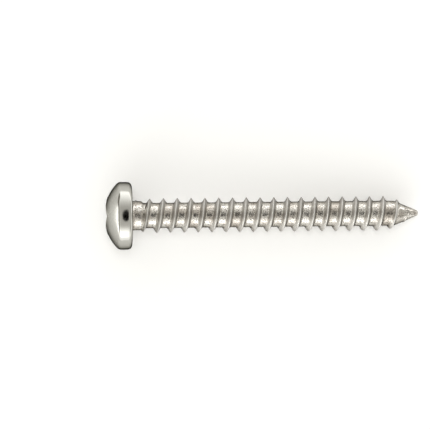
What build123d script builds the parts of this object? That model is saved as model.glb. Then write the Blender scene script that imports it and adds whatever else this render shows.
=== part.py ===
import os
from math import atan, ceil, cos, degrees, floor, radians, sin, sqrt, tan

from build123d import *

# A pan head self-tapping screw with a square recess and a spaced thread down to a gimlet point.
# It is modelled standing on its axis: the bearing face under the head is at z = 0, the point is
# towards +Z, and every height is a distance from the bearing face. At the end it is laid down.

# Head: a shallow dome over a short straight side
head_d = 8.2
head_height = 3.35  # bearing face to the top of the dome, as if the recess weren't there
dome_radius = 5.64
shoulder_chamfer = 0.18  # dome to side
rim_chamfer = 0.35  # side to bearing face
neck_chamfer = 0.3  # bearing face to neck, where a sharp corner would crack

# Square recess of the No. 2 size: a gripping part below a flared mouth
recess_across_flats = 2.86  # at the floor
recess_draft = 2.0  # degrees, each wall of the gripping part
recess_flare = 10.0  # degrees, each wall of the mouth
recess_depth = 2.3  # top of the dome to the corners of the floor
recess_flare_depth = 1.0  # top of the dome to the gripping part
recess_floor_slope = 20.0  # degrees, down from the floor's corners to its centre
recess_floor_flat = 0.5  # the punch's own flat tip

# Shank: the blank's own diameter at the neck, rolled down to the thread's root
length = 35.0  # bearing face to point
neck_d = 3.52
neck_length = 1.15
neck_end_angle = 45.0  # degrees, neck down to root
root_d = 3.05
point_angle = 45.0  # degrees, included, of the core at the point
point_flat_d = 0.55  # the point's blunt end

# Thread: one ridge with straight flanks up to a sharp crest
major_d = 4.22
pitch = 1.68
flank_angle = 30.0  # degrees, between a flank and a plane square to the axis
left_hand = True
thread_start = 0.91  # where the ridge begins to come out of the neck
run_in_turns = 1.0  # from the neck up to the full crest
full_crest_lead = 1.26  # the full crest ends this far before the point's cone
sinking_turns = 1.0  # from there the crest first sinks gently
sinking_d = 3.4  # down to this diameter
run_out_turns = 0.72  # and then runs out into the point
sunk_end = 0.05  # the ridge's crest begins under the neck's skin and ends under the point's
root_overlap = 0.1  # how far the ridge's base reaches into the core

head_r = head_d / 2
neck_r = neck_d / 2
root_r = root_d / 2
major_r = major_d / 2
sinking_r = sinking_d / 2

# The dome meets the side at this height
side_height = head_height - dome_radius + sqrt(dome_radius**2 - head_r**2)

# The core ends in a cone, blunted at its tip
half_point = radians(point_angle / 2)
cone_start_z = length - (root_r - point_flat_d / 2) / tan(half_point)
root_start_z = neck_length + (neck_r - root_r) / tan(radians(neck_end_angle))

# The ridge's heights: out of the neck, full crest, and down into the point
full_start_z = thread_start + run_in_turns * pitch
full_end_z = cone_start_z - full_crest_lead
full_turns = (full_end_z - full_start_z) / pitch
ridge_end_z = full_end_z + (sinking_turns + run_out_turns) * pitch
ridge_end_r = point_flat_d / 2 + (length - ridge_end_z) * tan(half_point) - sunk_end


def ridge(start_z, start_r, end_r, turns, turned):
    """A stretch of the thread's ridge, whose crest goes from one radius to another.

    Each of its long faces is ruled between two of the helices that its corners follow.
    """
    height = turns * pitch
    cone_angle = atan((end_r - start_r) / height)
    depth = major_r - root_r + root_overlap
    half_base = depth * tan(radians(flank_angle))
    corners = [(start_r, 0), (start_r - depth, half_base), (start_r - depth, -half_base)]
    edges = [
        Edge.make_helix(
            pitch / cos(cone_angle),
            height,
            radius,
            center=(0, 0, start_z + offset),
            angle=degrees(cone_angle),
            lefthand=left_hand,
        ).rotate(Axis.Z, turned)
        for radius, offset in corners
    ]
    neighbours = zip(edges, edges[1:] + edges[:1])
    sides = [Face.make_surface_from_curves(one, other) for one, other in neighbours]
    ends = [Face(Wire.make_polygon([edge @ end for edge in edges])) for end in (0, 1)]
    return Solid(Shell(sides + ends))


# The thread, in stretches of up to one turn, begins on the side that the screw lies on (+X here)
lengths = ceil(full_turns)
stretches = [(neck_r - sunk_end, major_r, run_in_turns)]
stretches += [(major_r, major_r, full_turns / lengths)] * lengths
stretches += [(major_r, sinking_r, sinking_turns), (sinking_r, ridge_end_r, run_out_turns)]

hand = -1 if left_hand else 1
thread = []
turns_done = 0
for start_r, end_r, turns in stretches:
    start_z = thread_start + turns_done * pitch
    thread.append(ridge(start_z, start_r, end_r, turns, hand * 360 * turns_done))
    turns_done += turns

# The turned profile's corners, as (radius, height)
apex = (0, -head_height)
shoulder = (head_r, -side_height)
rim = (head_r, 0)
neck_top = (neck_r, 0)

grip_depth = recess_depth - recess_flare_depth
recess_grip = recess_across_flats + 2 * grip_depth * tan(radians(recess_draft))
recess_mouth = recess_grip + 2 * recess_flare_depth * tan(radians(recess_flare))
floor_drop = (recess_across_flats - recess_floor_flat) / 2 * tan(radians(recess_floor_slope))

with BuildPart() as screw:
    with BuildSketch(Plane.XZ) as outline:
        with BuildLine():
            TangentArc(apex, shoulder, tangent=(1, 0))
            Polyline(
                shoulder,
                rim,
                neck_top,
                (neck_r, neck_length),
                (root_r, root_start_z),
                (root_r, cone_start_z),
                (point_flat_d / 2, length),
                (0, length),
                apex,
            )
        make_face()
        chamfer(outline.vertices().sort_by_distance(shoulder)[0], shoulder_chamfer)
        chamfer(outline.vertices().sort_by_distance(rim)[0], rim_chamfer)
        chamfer(outline.vertices().sort_by_distance(neck_top)[0], neck_chamfer)
    revolve(axis=Axis.Z)

    # The recess is pressed in cornerwise to the table
    with BuildSketch(Plane.XY.offset(-head_height)):
        Rectangle(recess_mouth, recess_mouth, rotation=45)
    extrude(amount=recess_flare_depth, taper=recess_flare, mode=Mode.SUBTRACT)
    with BuildSketch(Plane.XY.offset(recess_flare_depth - head_height)):
        Rectangle(recess_grip, recess_grip, rotation=45)
    extrude(amount=grip_depth, taper=recess_draft, mode=Mode.SUBTRACT)
    with BuildSketch(Plane.XY.offset(recess_depth - head_height)):
        Rectangle(recess_across_flats, recess_across_flats, rotation=45)
    extrude(amount=floor_drop, taper=90 - recess_floor_slope, mode=Mode.SUBTRACT)

    add(thread)

# The screw lies on the floor on the rim of its head and on the last crests below it, the last
# full one or the sinking one after it, and it comes to rest with both of them near the floor
full_crest_z = full_start_z + floor(full_turns) * pitch
sinking_crest_z = full_crest_z + pitch
sunk = (sinking_crest_z - full_end_z) / (sinking_turns * pitch)
sinking_crest_r = major_r - (major_r - sinking_r) * sunk
crests = [(major_r, full_crest_z), (sinking_crest_r, sinking_crest_z)]
tilt = min(atan((head_r - radius) / (height + rim_chamfer)) for radius, height in crests)
axis_height = head_r * cos(tilt) - rim_chamfer * sin(tilt)
lying = Plane(
    origin=(0, 0, axis_height),
    x_dir=(-sin(tilt), 0, -cos(tilt)),
    z_dir=(cos(tilt), 0, -sin(tilt)),
)
laid = lying.from_local_coords(screw.part)
box = laid.bounding_box()
laid = laid.moved(Location((-box.center().X, 0, 0)))

os.makedirs("parts", exist_ok=True)
laid.label = "screw"
export_step(laid, "parts/screw.step")
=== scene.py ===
from math import asin, ceil, cos, hypot, pi, radians, sin, sqrt, tan

import bpy
from mathutils import Matrix, Vector, noise


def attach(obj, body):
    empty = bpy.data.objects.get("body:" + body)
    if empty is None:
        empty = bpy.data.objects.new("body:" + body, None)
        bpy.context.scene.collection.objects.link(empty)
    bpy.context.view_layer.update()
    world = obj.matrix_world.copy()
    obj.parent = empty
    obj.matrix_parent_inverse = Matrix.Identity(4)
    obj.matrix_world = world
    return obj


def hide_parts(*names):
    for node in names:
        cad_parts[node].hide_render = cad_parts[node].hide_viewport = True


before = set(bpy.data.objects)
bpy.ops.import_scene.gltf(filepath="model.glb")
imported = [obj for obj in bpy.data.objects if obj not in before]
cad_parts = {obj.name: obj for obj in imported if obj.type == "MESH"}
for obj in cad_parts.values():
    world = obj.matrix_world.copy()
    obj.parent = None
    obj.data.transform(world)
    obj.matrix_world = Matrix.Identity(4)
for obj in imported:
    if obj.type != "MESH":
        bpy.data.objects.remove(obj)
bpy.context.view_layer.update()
scene = bpy.context.scene
mm = 0.001  # lengths in the dictionaries are millimetres


def hexColour(text):  # sRGB hex to linear
    parts = [int(text[i:i + 2], 16) / 255 for i in (1, 3, 5)]
    return [c / 12.92 if c <= 0.04045 else ((c + 0.055) / 1.055) ** 2.4 for c in parts] + [1.0]


def addNode(tree, kind, settings=(), inputs=()):  # an input is a value, a node or one of its outputs
    node = tree.nodes.new(kind)
    for name, value in dict(settings).items():
        setattr(node, name, value)
    for name, value in dict(inputs).items():
        if isinstance(value, bpy.types.Node):
            value = next(output for output in value.outputs if output.enabled)
        if isinstance(value, bpy.types.NodeSocket):
            tree.links.new(value, node.inputs[name])
        else:
            node.inputs[name].default_value = value
    return node


# the screw: one wire blank, headed, pointed and thread-rolled
# r and z are measured from the screw's own axis and along it, from the bearing face to the point

screwSize = {
    "headR": 4.1, "domeR": 5.64, "domeCentre": 2.29,  # the dome's circle is centred past the bearing face
    "shoulderR": 0.65, "rimR": 0.5,
    "sideBarrel": 0.01, "sideDraft": 0.016,  # the head's side is slightly crowned and drafted
    "neckFilletR": 0.3, "neckR": 1.76, "neckEnd": 1.15, "rootR": 1.525, "rootStart": 1.385,
    "coneSlope": tan(radians(22.5)), "coneBlend": 0.05, "tipR": 0.275, "length": 35.0,
    "tipRings": [(0.425, 34.6), (0.385, 34.7), (0.34, 34.8), (0.29, 34.88),
                 (0.225, 34.94), (0.14, 34.98), (0.06, 34.995)],  # r and z of the rings that blunt the point
    "tipEnd": 34.998,
    "dent": 0.006, "dentsRound": 1.6, "dentsAlong": 1.9,  # slow unevenness of the rolled core
    "leanAngle": 0.066391, "axisHeight": 4.0677, "bearingX": -15.876,  # how the screw lies
    "columns": 128,  # round the axis; a whole number of fours keeps the square's corners sharp
    "domeRows": 14, "roundRows": 8, "flatRows": 5, "sharpDegrees": 50.0,
}
threadSize = {
    "pitch": 1.68, "startZ": 0.91, "flankSlope": 1 / tan(radians(30)),
    "crestRound": 0.04,  # rolled crests are never quite sharp
    "rootRound": 0.22,  # soft root where the metal flowed up
    "crestZ": [-0.77, 0.3, 2.59, 30.722, 32.402, 33.612, 35.3],  # the thread runs in, holds and runs out
    "crestR": [1.41, 1.85, 2.11, 2.11, 1.70, 0.80, -0.45],
    "rows": [0.0, 0.025, 0.05, 0.08, 0.12, 0.16, 0.21, 0.26, 0.3, 0.34, 0.39, 0.46, 0.56, 0.7],  # off the crest
    "gridStart": 0.5, "gridEnd": 34.5, "snap": 0.008,  # helical rows are gathered into plain rings there
    "wear": 0.022, "wearRate": 1.6, "wearStride": 1.1,  # crest height lost here and there in rolling
    "seed": 7.3, "seedRow": 0.3,
    "wornFromR": 1.6, "tallRate": 4,  # only a crest that stands clear is worn and carries the painted highlight
    "highlightWidth": 0.08, "highlightFade": 1.5,  # half width of the painted highlight along the crest
    # the flanks carry this share of the painted highlight on the crests
    "flankFoot": 0.05, "flankRate": 8, "flankHighlight": 0.6,
}
recessSize = {
    "floorFlat": 0.25, "floorTopZ": -0.62, "dimpleDepth": 0.05,  # widths are halves across the flats
    "gripLow": 1.43, "gripLowZ": -1.05, "gripHigh": 1.475, "gripHighZ": -2.35,
    "flareSlope": tan(radians(10)), "cornerLimit": 1.375,  # corners stay nearly sharp
    "burr": 0.03, "burrWidth": 0.16,  # metal the punch raised beside the corners
    "burrShape": [(0.012, 0.1), (0.04, 0.8), (0.08, 1.0), (0.12, 0.6), (0.16, 0.0)],
    "dimpleSteps": (0.35, 0.7, 1.0), "floorSteps": (0.2, 0.4, 0.6, 0.8, 0.95, 1.0),
    "gripSteps": (0.05, 0.35, 0.7, 1.0), "flareSteps": (0.35, 0.7, 0.93),
}
zoneNames = ("crest", "flank", "dome", "recess", "shank")  # where the finish differs, and where the colour carries a painted highlight (crest) or a painted shade (recess)


def mixed(a, b, t):
    return a + (b - a) * t


def clamped(value):
    return min(1.0, max(0.0, value))


def stepped(places, values, at):
    for i in range(len(places) - 1):
        if at <= places[i + 1]:
            break
    return mixed(values[i], values[i + 1], (at - places[i]) / (places[i + 1] - places[i]))


def softMax(a, b, width):
    near = max(width - abs(a - b), 0.0)
    return max(a, b) + near * near / (4 * width)


def squareReach(theta):  # distance to a diamond's edge for a half width of one
    reach = 1 / max(abs(cos(theta - pi / 4)), abs(sin(theta - pi / 4)))
    return min(reach, recessSize["cornerLimit"])


def domeZ(r):
    return screwSize["domeCentre"] - sqrt(screwSize["domeR"] ** 2 - r * r)


def recessRows(theta):  # from the middle of the recess floor up to the mouth, and the mouth's radius
    cut, reach = recessSize, squareReach(theta)
    rows = []
    for step in cut["dimpleSteps"]:
        z = cut["floorTopZ"] + cut["dimpleDepth"] * (1 - step)
        rows.append((cut["floorFlat"] * reach * step, z, "recess"))
    for step in cut["floorSteps"]:
        half = mixed(cut["floorFlat"], cut["gripLow"], step)
        rows.append((half * reach, mixed(cut["floorTopZ"], cut["gripLowZ"], step), "recess"))
    for step in cut["gripSteps"]:
        half = mixed(cut["gripLow"], cut["gripHigh"], step)
        rows.append((half * reach, mixed(cut["gripLowZ"], cut["gripHighZ"], step), "recess"))
    mouthZ = cut["gripHighZ"]
    for _ in range(8):  # closes in on where the flare meets the dome
        mouthR = (cut["gripHigh"] + (cut["gripHighZ"] - mouthZ) * cut["flareSlope"]) * reach
        mouthZ = domeZ(mouthR)
    for step in cut["flareSteps"]:
        r = mixed(cut["gripHigh"] * reach, mouthR, step)
        rows.append((r, mixed(cut["gripHighZ"], mouthZ, step), "recess"))
    corner = (reach - 1) / (cut["cornerLimit"] - 1)
    for out, rise in cut["burrShape"]:
        rows.append((mouthR + out, domeZ(mouthR + out) - rise * cut["burr"] * corner, "head"))
    return rows, mouthR


def headRows(theta):  # from the recess out over the dome, the side and the rim to the neck: (r, z, zone)
    size = screwSize
    rows, mouthR = recessRows(theta)
    rounds, flats = size["roundRows"], size["flatRows"]
    innerR = size["domeR"] - size["shoulderR"]
    centreR = size["headR"] - size["sideBarrel"] - size["shoulderR"]
    centreZ = size["domeCentre"] - sqrt(innerR ** 2 - centreR ** 2)
    leaving = asin(centreR / innerR)
    domeStart, domeEnd = mouthR + recessSize["burrWidth"], size["domeR"] * sin(leaving)
    for i in range(1, size["domeRows"] + 1):
        r = mixed(domeStart, domeEnd, i / size["domeRows"])
        rows.append((r, domeZ(r), "dome"))
    for i in range(1, rounds + 1):
        angle = mixed(leaving, pi / 2, i / rounds)
        z = centreZ - size["shoulderR"] * cos(angle)
        rows.append((centreR + size["shoulderR"] * sin(angle), z, "head"))
    for i in range(1, rounds):
        step = i / rounds
        r = size["headR"] - size["sideBarrel"] * (2 * step - 1) ** 2 - size["sideDraft"] * step
        rows.append((r, mixed(centreZ, -size["rimR"], step), "head"))
    rimCentre = size["headR"] - size["sideBarrel"] - size["sideDraft"] - size["rimR"]
    for i in range(rounds + 1):
        angle = i / rounds * pi / 2
        rows.append((rimCentre + size["rimR"] * cos(angle), -size["rimR"] * (1 - sin(angle)), "head"))
    filletOut = size["neckR"] + size["neckFilletR"]
    for i in range(1, flats + 1):
        rows.append((mixed(rimCentre, filletOut, i / flats), 0.0, "head"))
    for i in range(1, flats + 1):
        angle = i / flats * pi / 2
        r = filletOut - size["neckFilletR"] * sin(angle)
        rows.append((r, size["neckFilletR"] * (1 - cos(angle)), "shank"))
    return rows


def coreR(z):
    size = screwSize
    r = stepped([0.0, size["neckEnd"], size["rootStart"], size["length"]],
                [size["neckR"], size["neckR"], size["rootR"], size["rootR"]], z)
    cone = size["tipR"] + (size["length"] - z) * size["coneSlope"]
    return -softMax(-r, -cone, size["coneBlend"])


def shankPoint(theta, z):  # radius of core and thread together, its share of the painted highlight on crests and flanks, and its share of flank
    size, form = screwSize, threadSize
    turn = (z - form["startZ"]) / form["pitch"] + theta / (2 * pi)
    crestZ = form["startZ"] + form["pitch"] * (round(turn) - theta / (2 * pi))
    away = abs(z - crestZ)
    crestR = stepped(form["crestZ"], form["crestR"], crestZ)
    stride = form["wearStride"]
    along = form["seed"] + round(turn) * 2 * pi * stride - theta * stride  # runs on from turn to turn
    worn = 0.5 + 0.5 * noise.noise(Vector((along * form["wearRate"], form["seed"], form["seedRow"])))
    crestR -= form["wear"] * max(worn, 0.0) * clamped((crestR - form["wornFromR"]) * form["tallRate"])
    soft = form["crestRound"]
    ridge = crestR - (hypot(away, soft) - soft) * form["flankSlope"]
    core = coreR(z)
    around = Vector((cos(theta), sin(theta), 0.0)) * size["dentsRound"]
    core -= size["dent"] * (1 + noise.noise(around + Vector((0.0, 0.0, z * size["dentsAlong"]))))
    r = softMax(core, ridge, form["rootRound"])
    tall = clamped((crestR - core) * form["tallRate"])
    flank = clamped((r - core - form["flankFoot"]) * form["flankRate"])
    # painted highlight: full on the crest line, fading off it, and a share of it over the flanks
    crest = tall * clamped(form["highlightFade"] - away / form["highlightWidth"])
    return r, max(crest, form["flankHighlight"] * flank), flank


def layDown(r, theta, z):  # from the screw's own axis to how it lies on the floor
    size = screwSize
    x, y, lean = r * cos(theta), r * sin(theta), size["leanAngle"]
    return Vector((size["bearingX"] + z * cos(lean) - x * sin(lean), y,
                   size["axisHeight"] - z * sin(lean) - x * cos(lean))) * mm


def makeScrew():
    size, form, cut = screwSize, threadSize, recessSize
    count = size["columns"]
    thetas = [2 * pi * j / count for j in range(count)]
    points, faces, zones = [], [], {name: [] for name in zoneNames}

    def addPoint(r, theta, z, **shares):
        points.append(layDown(r, theta, z))
        for name in zoneNames:
            zones[name].append(shares.get(name, 0.0))
        return len(points) - 1

    def joinRings(low, high):
        for j in range(count):
            k = (j + 1) % count
            faces.append((low[j], low[k], high[k], high[j]))

    # head: rings from the middle of the recess floor to the neck
    middle = addPoint(0, 0, cut["floorTopZ"] + cut["dimpleDepth"], recess=1.0)
    profiles = [headRows(theta) for theta in thetas]
    rings = []
    for i in range(len(profiles[0])):
        ring = []
        for j, theta in enumerate(thetas):
            r, z, zone = profiles[j][i]
            ring.append(addPoint(r, theta, z, **{zone: 1.0}))
        rings.append(ring)
    for j in range(count):
        faces.append((middle, rings[0][(j + 1) % count], rings[0][j]))
    for low, high in zip(rings, rings[1:]):
        joinRings(high, low)

    # thread: rows follow the helix, and are gathered into a plain ring at each end
    pitch, zLow, zHigh = form["pitch"], form["gridStart"], form["gridEnd"]
    offsets = set(form["rows"]) | {pitch - row for row in form["rows"]} | {pitch / 2}
    offsets = sorted(offsets - {pitch})
    perTurn = len(offsets)
    firstZ = form["startZ"] - pitch

    def rowZ(k, j):
        return firstZ + (k // perTurn) * pitch + offsets[k % perTurn] - pitch * j / count

    lowRing = [addPoint(shankPoint(t, zLow)[0], t, zLow, shank=1.0) for t in thetas]
    highRing = [addPoint(shankPoint(t, zHigh)[0], t, zHigh, shank=1.0) for t in thetas]
    known = {}

    def gridPoint(k, j):
        if j == count:
            k, j = k - perTurn, 0
        z = rowZ(k, j)
        if z <= zLow + form["snap"]:
            return lowRing[j]
        if z >= zHigh - form["snap"]:
            return highRing[j]
        if (k, j) not in known:
            r, crest, flank = shankPoint(thetas[j], z)
            known[k, j] = addPoint(r, thetas[j], z, crest=crest, flank=flank, shank=1.0)
        return known[k, j]

    joinRings(lowRing, rings[-1])
    turns = ceil((zHigh - firstZ) / pitch) + 1
    for k in range(perTurn * turns):
        for j in range(count):
            corners = [gridPoint(k, j), gridPoint(k + 1, j), gridPoint(k + 1, j + 1), gridPoint(k, j + 1)]
            kept = [c for i, c in enumerate(corners) if c not in corners[:i]]
            if len(kept) > 2:
                faces.append(kept)

    # blunt point
    ring = highRing
    for r, z in size["tipRings"]:
        nextRing = [addPoint(r, t, z, shank=1.0) for t in thetas]
        joinRings(nextRing, ring)
        ring = nextRing
    tip = addPoint(0, 0, size["tipEnd"], shank=1.0)
    for j in range(count):
        faces.append((tip, ring[j], ring[(j + 1) % count]))

    mesh = bpy.data.meshes.new("rolledScrew")
    mesh.from_pydata(points, [], faces)
    for name in zoneNames:
        layer = mesh.attributes.new(name, "FLOAT", "POINT")
        layer.data.foreach_set("value", zones[name])
    mesh.validate()
    mesh.flip_normals()  # the rings above are wound inward
    mesh.shade_smooth()
    mesh.set_sharp_from_angle(angle=radians(size["sharpDegrees"]))
    piece = bpy.data.objects.new("rolledScrew", mesh)
    scene.collection.objects.link(piece)
    return piece


screw = makeScrew()
print("screw:", len(screw.data.vertices), "points,", len(screw.data.polygons), "faces")

# stainless steel, cold headed and thread rolled: bright and slightly warm, smooth but not polished
# the dies leave faint dimples and flow marks, so reflections break up into a mottled band

steelLook = {
    # the head's colour is set darker than the shank's: a painted shade standing in for the dome's greyer
    # reflections
    "head": "#b9b8b2", "shank": "#dddad3", "warm": "#b6aea4", "dark": "#5c544b",
    # the recess colour is darker than the head's: a painted shade in the recess, beside its matt finish
    "recess": "#9a9790", "crest": "#e4e2de",
    "edgeShade": 0.0,  # grain too fine to draw shades itself where the steel turns away
    "headRoughness": 0.12, "domeRoughness": 0.27, "shankRoughness": 0.11,
    "recessRoughness": 0.42,  # the punch leaves the recess matt
    "flankRoughness": 0.4,  # the dies rub the thread's flanks duller
    "roughnessSpread": 0.1, "cloudFrom": 0.3, "cloudTo": 0.7,
    "dimpleMm": 0.46, "grainMm": 0.24,  # the real grain is about 0.02 mm, drawn coarser so that it shows
    "streakMm": 0.24, "streakRound": 0.35,  # die marks: short along the screw, long round it
    "ripplesMm": 2.6, "patchesPerMm": 0.55,  # slow unevenness of the head; patches about 2 mm across
    "dimpleDepthMm": 0.018, "streakDepthMm": 0.006, "grainDepthMm": 0.016, "ripplesDepthMm": 0.020,
    "headShare": 0.06,  # the head's closed die leaves it this much as dimpled as the shank
    "warmFrom": 0.42, "warmTo": 0.66, "warmShare": 0.8,
    "speckFrom": 0.48, "speckTo": 0.66, "speckShare": 0.85, "flankSpecks": 0.3,
}


def makeSteel():
    look = steelLook
    steel = bpy.data.materials.new("rolledStainlessSteel")
    steel.use_nodes = True
    tree = steel.node_tree
    tree.nodes.clear()
    place = addNode(tree, "ShaderNodeTexCoord")
    inMm = addNode(tree, "ShaderNodeVectorMath", {"operation": "SCALE"},
                   {0: place.outputs["Object"], "Scale": 1 / mm})
    onAxis = addNode(tree, "ShaderNodeMapping", {"vector_type": "POINT"},
                     {"Vector": inMm, "Rotation": (0.0, -screwSize["leanAngle"], 0.0)})
    zone = {name: addNode(tree, "ShaderNodeAttribute", {"attribute_name": name}).outputs["Fac"]
            for name in zoneNames}

    # patterns; flow marks run round the screw, so they are long that way and short along it
    along = addNode(tree, "ShaderNodeVectorMath", {"operation": "MULTIPLY"},
                    {0: onAxis, 1: (1 / look["streakMm"], look["streakRound"], look["streakRound"])})
    streak = addNode(tree, "ShaderNodeTexNoise", {}, {"Vector": along, "Scale": 1.0, "Detail": 3.0})
    dimple = addNode(tree, "ShaderNodeTexNoise", {},
                     {"Vector": inMm, "Scale": 2 / look["dimpleMm"], "Detail": 2.0, "Roughness": 0.5})
    grain = addNode(tree, "ShaderNodeTexNoise", {},
                    {"Vector": inMm, "Scale": 2 / look["grainMm"], "Detail": 1.0})
    patch = addNode(tree, "ShaderNodeTexNoise", {},
                    {"Vector": inMm, "Scale": look["patchesPerMm"], "Detail": 4.0, "Distortion": 0.6})
    ripples = addNode(tree, "ShaderNodeTexNoise", {},
                      {"Vector": inMm, "Scale": 1 / look["ripplesMm"], "Detail": 1.0})

    # colour: bright steel, set darker on the head as a painted shade, warmer in patches and specked on the
    # rolled shank, darker in the recess as a painted shade, and lighter on the thread's crests and flanks as a
    # painted highlight
    warmth = addNode(tree, "ShaderNodeMapRange", {},
                     {"Value": patch, "From Min": look["warmFrom"], "From Max": look["warmTo"],
                      "To Max": look["warmShare"]})
    shankWarmth = addNode(tree, "ShaderNodeMath", {"operation": "MULTIPLY"}, {0: warmth, 1: zone["shank"]})
    speck = addNode(tree, "ShaderNodeMapRange", {},
                    {"Value": grain, "From Min": look["speckFrom"], "From Max": look["speckTo"],
                     "To Max": look["speckShare"]})
    shankSpeck = addNode(tree, "ShaderNodeMath", {"operation": "MULTIPLY"}, {0: speck, 1: zone["shank"]})
    offFlank = addNode(tree, "ShaderNodeMapRange", {},
                       {"Value": zone["flank"], "To Min": 1.0, "To Max": look["flankSpecks"]})
    rootSpeck = addNode(tree, "ShaderNodeMath", {"operation": "MULTIPLY"}, {0: shankSpeck, 1: offFlank})
    colour = hexColour(look["head"])
    # the last coat, crest, is a painted highlight along the thread's crests and, at a share, over its flanks
    for coat, share in (("shank", zone["shank"]), ("warm", shankWarmth), ("dark", rootSpeck),
                        ("recess", zone["recess"]), ("crest", zone["crest"])):
        colour = addNode(tree, "ShaderNodeMix", {"data_type": "RGBA"},
                         {"Factor": share, "A": colour, "B": hexColour(look[coat])})

    # roughness: cloudy, and its own on the dome, the shank, the flanks and in the recess
    spread = look["roughnessSpread"] / 2
    cloudy = addNode(tree, "ShaderNodeMapRange", {},
                     {"Value": patch, "From Min": look["cloudFrom"], "From Max": look["cloudTo"],
                      "To Min": -spread, "To Max": spread})
    headRough = addNode(tree, "ShaderNodeMapRange", {},
                        {"Value": zone["dome"], "To Min": look["headRoughness"],
                         "To Max": look["domeRoughness"]})
    zoned = addNode(tree, "ShaderNodeMix", {"data_type": "FLOAT"},
                    {"Factor": zone["shank"], "A": headRough, "B": look["shankRoughness"]})
    summed = addNode(tree, "ShaderNodeMath", {"operation": "ADD"}, {0: zoned, 1: cloudy})
    rubbed = addNode(tree, "ShaderNodeMix", {"data_type": "FLOAT"},
                     {"Factor": zone["flank"], "A": summed, "B": look["flankRoughness"]})
    rough = addNode(tree, "ShaderNodeMix", {"data_type": "FLOAT"},
                    {"Factor": zone["recess"], "A": rubbed, "B": look["recessRoughness"]})

    # relief in millimetres: dimples, flow marks and grain by zone, then the head's slow ripples
    share = addNode(tree, "ShaderNodeMapRange", {}, {"Value": zone["shank"], "To Min": look["headShare"]})
    height = 0.0
    for source, depth in ((dimple, "dimpleDepthMm"), (streak, "streakDepthMm"), (grain, "grainDepthMm")):
        height = addNode(tree, "ShaderNodeMath", {"operation": "MULTIPLY_ADD"},
                         {0: source, 1: look[depth], 2: height})
    zonedHeight = addNode(tree, "ShaderNodeMath", {"operation": "MULTIPLY"}, {0: height, 1: share})
    relief = addNode(tree, "ShaderNodeMath", {"operation": "MULTIPLY_ADD"},
                     {0: ripples, 1: look["ripplesDepthMm"], 2: zonedHeight})
    bump = addNode(tree, "ShaderNodeBump", {}, {"Height": relief, "Strength": 1.0, "Distance": mm})
    shader = addNode(tree, "ShaderNodeBsdfPrincipled", {},
                     {"Metallic": 1.0, "Specular Tint": [look["edgeShade"]] * 3 + [1.0],
                      "Base Color": colour, "Roughness": rough, "Normal": bump})
    addNode(tree, "ShaderNodeOutputMaterial", {}, {"Surface": shader})
    return steel


screw.data.materials.append(makeSteel())
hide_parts("screw")
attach(screw, "root")
print("steel: rolled stainless")

# floor, lamp and the pale room that the steel mirrors
# the room is painted by direction: long soft boxes on both sides, a dull ceiling, a dark hatch overhead

studio = {
    "floorColour": "#fafaf9", "floorRoughness": 0.9, "floorSpecular": 0.1,
    "floorSizeMm": 600.0, "floorCells": 8,
    "boxColour": "#fffffe",
    "boxStrengths": {"lowerBox": 2.75, "lowerBoxFar": 1.8, "upperBox": 2.0,
                     "nearSkirting": 1.7, "skirting": 2.2, "headSkirting": 4.5},
    "colours": {"endWall": "#b3b1ab", "flag": "#8d8981",  # dull walls at both ends, a grey one upper left
                "ceilingNear": "#ebe9e4", "ceiling": "#dbd9d4", "hatch": "#040404"},
    "hatchPlace": (0.165, 0.02, 1.0),  # a dark oval a little off the zenith
    "hatchScale": (1 / 0.115, 1 / 0.36, 0.3),  # one over its half widths along and across
    "edges": {  # what is measured, and where it starts and has ended to fade in
        "boxFar": ("x", 0.16, 0.32), "boxUpper": ("y", -0.25, 0.25),
        "skirtingFar": ("y", -0.3, 0.1), "skirtingHead": ("x", -0.7, -0.93), "lowDown": ("z", 0.24, 0.14),
        "roomEnd": ("sideways", 0.5, 0.72), "higherUp": ("z", 0.14, 0.24),
        "flagSide": ("y", 0.2, 0.42), "flagEnd": ("x", -0.2, -0.5), "flagTop": ("z", 0.5, 0.3),
        "ceilingFar": ("y", -0.6, 0.2), "ceilingEnd": ("x", -0.75, -0.45),
        "steep": ("steepness", 0.42, 0.9), "farSteep": ("steepness", 0.14, 0.98), "farSide": ("y", -0.1, 0.3),
        "hatch": ("fromHatch", 1.15, 0.75),
    },
    "joined": [  # shares made of two others
        ("endWall", "MULTIPLY", "roomEnd", "higherUp"),
        ("flag", "MULTIPLY", "flagSide", "flagEnd"), ("flag", "MULTIPLY", "flag", "flagTop"),
        ("farOverhead", "MULTIPLY", "farSteep", "farSide"), ("overhead", "MAXIMUM", "steep", "farOverhead"),
        ("overhead", "MULTIPLY", "overhead", "ceilingEnd"),
    ],
    "coats": [  # result, what is under, what goes over it, and with which share
        ("boxes", "lowerBox", "lowerBoxFar", "boxFar"), ("boxes", "boxes", "upperBox", "boxUpper"),
        ("low", "nearSkirting", "skirting", "skirtingFar"), ("low", "low", "headSkirting", "skirtingHead"),
        ("boxes", "boxes", "low", "lowDown"), ("boxes", "boxes", "endWall", "endWall"),
        ("boxes", "boxes", "flag", "flag"), ("ceiling", "ceilingNear", "ceiling", "ceilingFar"),
        ("sky", "boxes", "ceiling", "overhead"), ("sky", "sky", "hatch", "hatch"),
    ],
    "lampEnergy": 0.36, "lampSizeMm": 140.0, "lampPlaceMm": (-6.0, 60.0, 420.0),
}


def makeFloor():
    room = studio
    bpy.ops.mesh.primitive_grid_add(x_subdivisions=room["floorCells"], y_subdivisions=room["floorCells"],
                                    size=room["floorSizeMm"] * mm)
    floorPlate = bpy.context.object
    floorPlate.name = "studioFloor"
    paint = bpy.data.materials.new("mattWhitePaint")  # sprayed matt paint: even, no gloss
    paint.use_nodes = True
    body = paint.node_tree.nodes["Principled BSDF"]
    body.inputs["Base Color"].default_value = hexColour(room["floorColour"])
    body.inputs["Roughness"].default_value = room["floorRoughness"]
    body.inputs["Specular IOR Level"].default_value = room["floorSpecular"]
    floorPlate.data.materials.append(paint)


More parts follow.
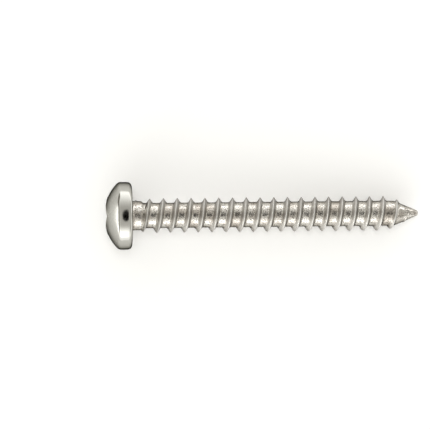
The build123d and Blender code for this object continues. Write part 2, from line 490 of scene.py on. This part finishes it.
def makeRoom():
    room = studio
    world = bpy.data.worlds.new("paleStudio")
    scene.world = world
    world.use_nodes = True
    tree = world.node_tree
    tree.nodes.clear()
    toward = addNode(tree, "ShaderNodeTexCoord").outputs["Generated"]
    axes = addNode(tree, "ShaderNodeSeparateXYZ", {}, {"Vector": toward})
    x, y, z = (axes.outputs[name] for name in "XYZ")
    # steepness is measured across the room, so the boxes and the ceiling run its whole length
    ySquare = addNode(tree, "ShaderNodeMath", {"operation": "MULTIPLY"}, {0: y, 1: y})
    zSquare = addNode(tree, "ShaderNodeMath", {"operation": "MULTIPLY"}, {0: z, 1: z})
    squares = addNode(tree, "ShaderNodeMath", {"operation": "ADD"}, {0: ySquare, 1: zSquare})
    across = addNode(tree, "ShaderNodeMath", {"operation": "SQRT"}, {0: squares})
    hatchOffset = addNode(tree, "ShaderNodeVectorMath", {"operation": "SUBTRACT"},
                          {0: toward, 1: room["hatchPlace"]})
    hatchScaled = addNode(tree, "ShaderNodeVectorMath", {"operation": "MULTIPLY"},
                          {0: hatchOffset, 1: room["hatchScale"]})
    measures = {
        "x": x, "y": y, "z": z,
        "sideways": addNode(tree, "ShaderNodeMath", {"operation": "ABSOLUTE"}, {0: x}),
        "steepness": addNode(tree, "ShaderNodeMath", {"operation": "DIVIDE"}, {0: z, 1: across}),
        "fromHatch": addNode(tree, "ShaderNodeVectorMath", {"operation": "LENGTH"}, {0: hatchScaled}),
    }
    shares = {}
    for name, (measure, low, high) in room["edges"].items():
        shares[name] = addNode(tree, "ShaderNodeMapRange", {"interpolation_type": "SMOOTHSTEP"},
                               {"Value": measures[measure], "From Min": low, "From Max": high})
    for name, operation, first, second in room["joined"]:
        shares[name] = addNode(tree, "ShaderNodeMath", {"operation": operation},
                               {0: shares[first], 1: shares[second]})
    painted = {name: hexColour(text) for name, text in room["colours"].items()}
    for name, strength in room["boxStrengths"].items():
        painted[name] = [c * strength for c in hexColour(room["boxColour"])[:3]] + [1.0]
    for name, under, over, share in room["coats"]:
        painted[name] = addNode(tree, "ShaderNodeMix", {"data_type": "RGBA"},
                                {"Factor": shares[share], "A": painted[under], "B": painted[over]})
    light = addNode(tree, "ShaderNodeBackground", {}, {"Color": painted["sky"], "Strength": 1.0})
    addNode(tree, "ShaderNodeOutputWorld", {}, {"Surface": light})


def makeLamp():
    room = studio
    lamp = bpy.data.objects.new("softBox", bpy.data.lights.new("softBox", "AREA"))
    lamp.data.size = room["lampSizeMm"] * mm
    lamp.data.energy = room["lampEnergy"]
    lamp.location = Vector(room["lampPlaceMm"]) * mm
    lamp.rotation_euler = Vector(room["lampPlaceMm"]).to_track_quat("Z", "Y").to_euler()
    lamp.visible_glossy = False  # it lights the floor and is not mirrored as a hard white patch
    scene.collection.objects.link(lamp)


makeFloor()
makeRoom()
makeLamp()
print("studio: floor, room and lamp")

# camera, looking down on the lying screw as the photograph looks at its side

cameraSetting = {
    "distanceMm": 220.0, "leanDegrees": 1.2, "rollDegrees": 0.571,
    "aimZ": 10.094, "aimY": -0.01,  # along the screw's axis and across it
    "focalPixels": 1815.2, "imagePixels": 430, "sensorMm": 36.0,
    "clipNear": 0.01, "clipFar": 10.0,  # metres
}


def makeCamera():
    eye = cameraSetting
    lean, roll = radians(eye["leanDegrees"]), radians(eye["rollDegrees"])
    aim = layDown(0, 0, eye["aimZ"]) + Vector((0.0, eye["aimY"] * mm, 0.0))
    back = Vector((-sin(lean), 0.0, cos(lean)))
    across, up = Vector((cos(lean), 0.0, sin(lean))), Vector((0.0, 1.0, 0.0))
    right = across * cos(roll) - up * sin(roll)
    top = across * sin(roll) + up * cos(roll)
    view = bpy.data.cameras.new("benchCamera")
    view.sensor_width = eye["sensorMm"]
    view.lens = eye["sensorMm"] * eye["focalPixels"] / eye["imagePixels"]
    view.clip_start, view.clip_end = eye["clipNear"], eye["clipFar"]
    holder = bpy.data.objects.new("benchCamera", view)
    place = aim + back * eye["distanceMm"] * mm
    turn = Matrix((right, top, back)).transposed().to_4x4()
    holder.matrix_world = Matrix.Translation(place) @ turn
    scene.collection.objects.link(holder)
    scene.camera = holder


makeCamera()
scene.view_settings.view_transform = "Standard"
print("camera: set")

bpy.context.view_layer.update()
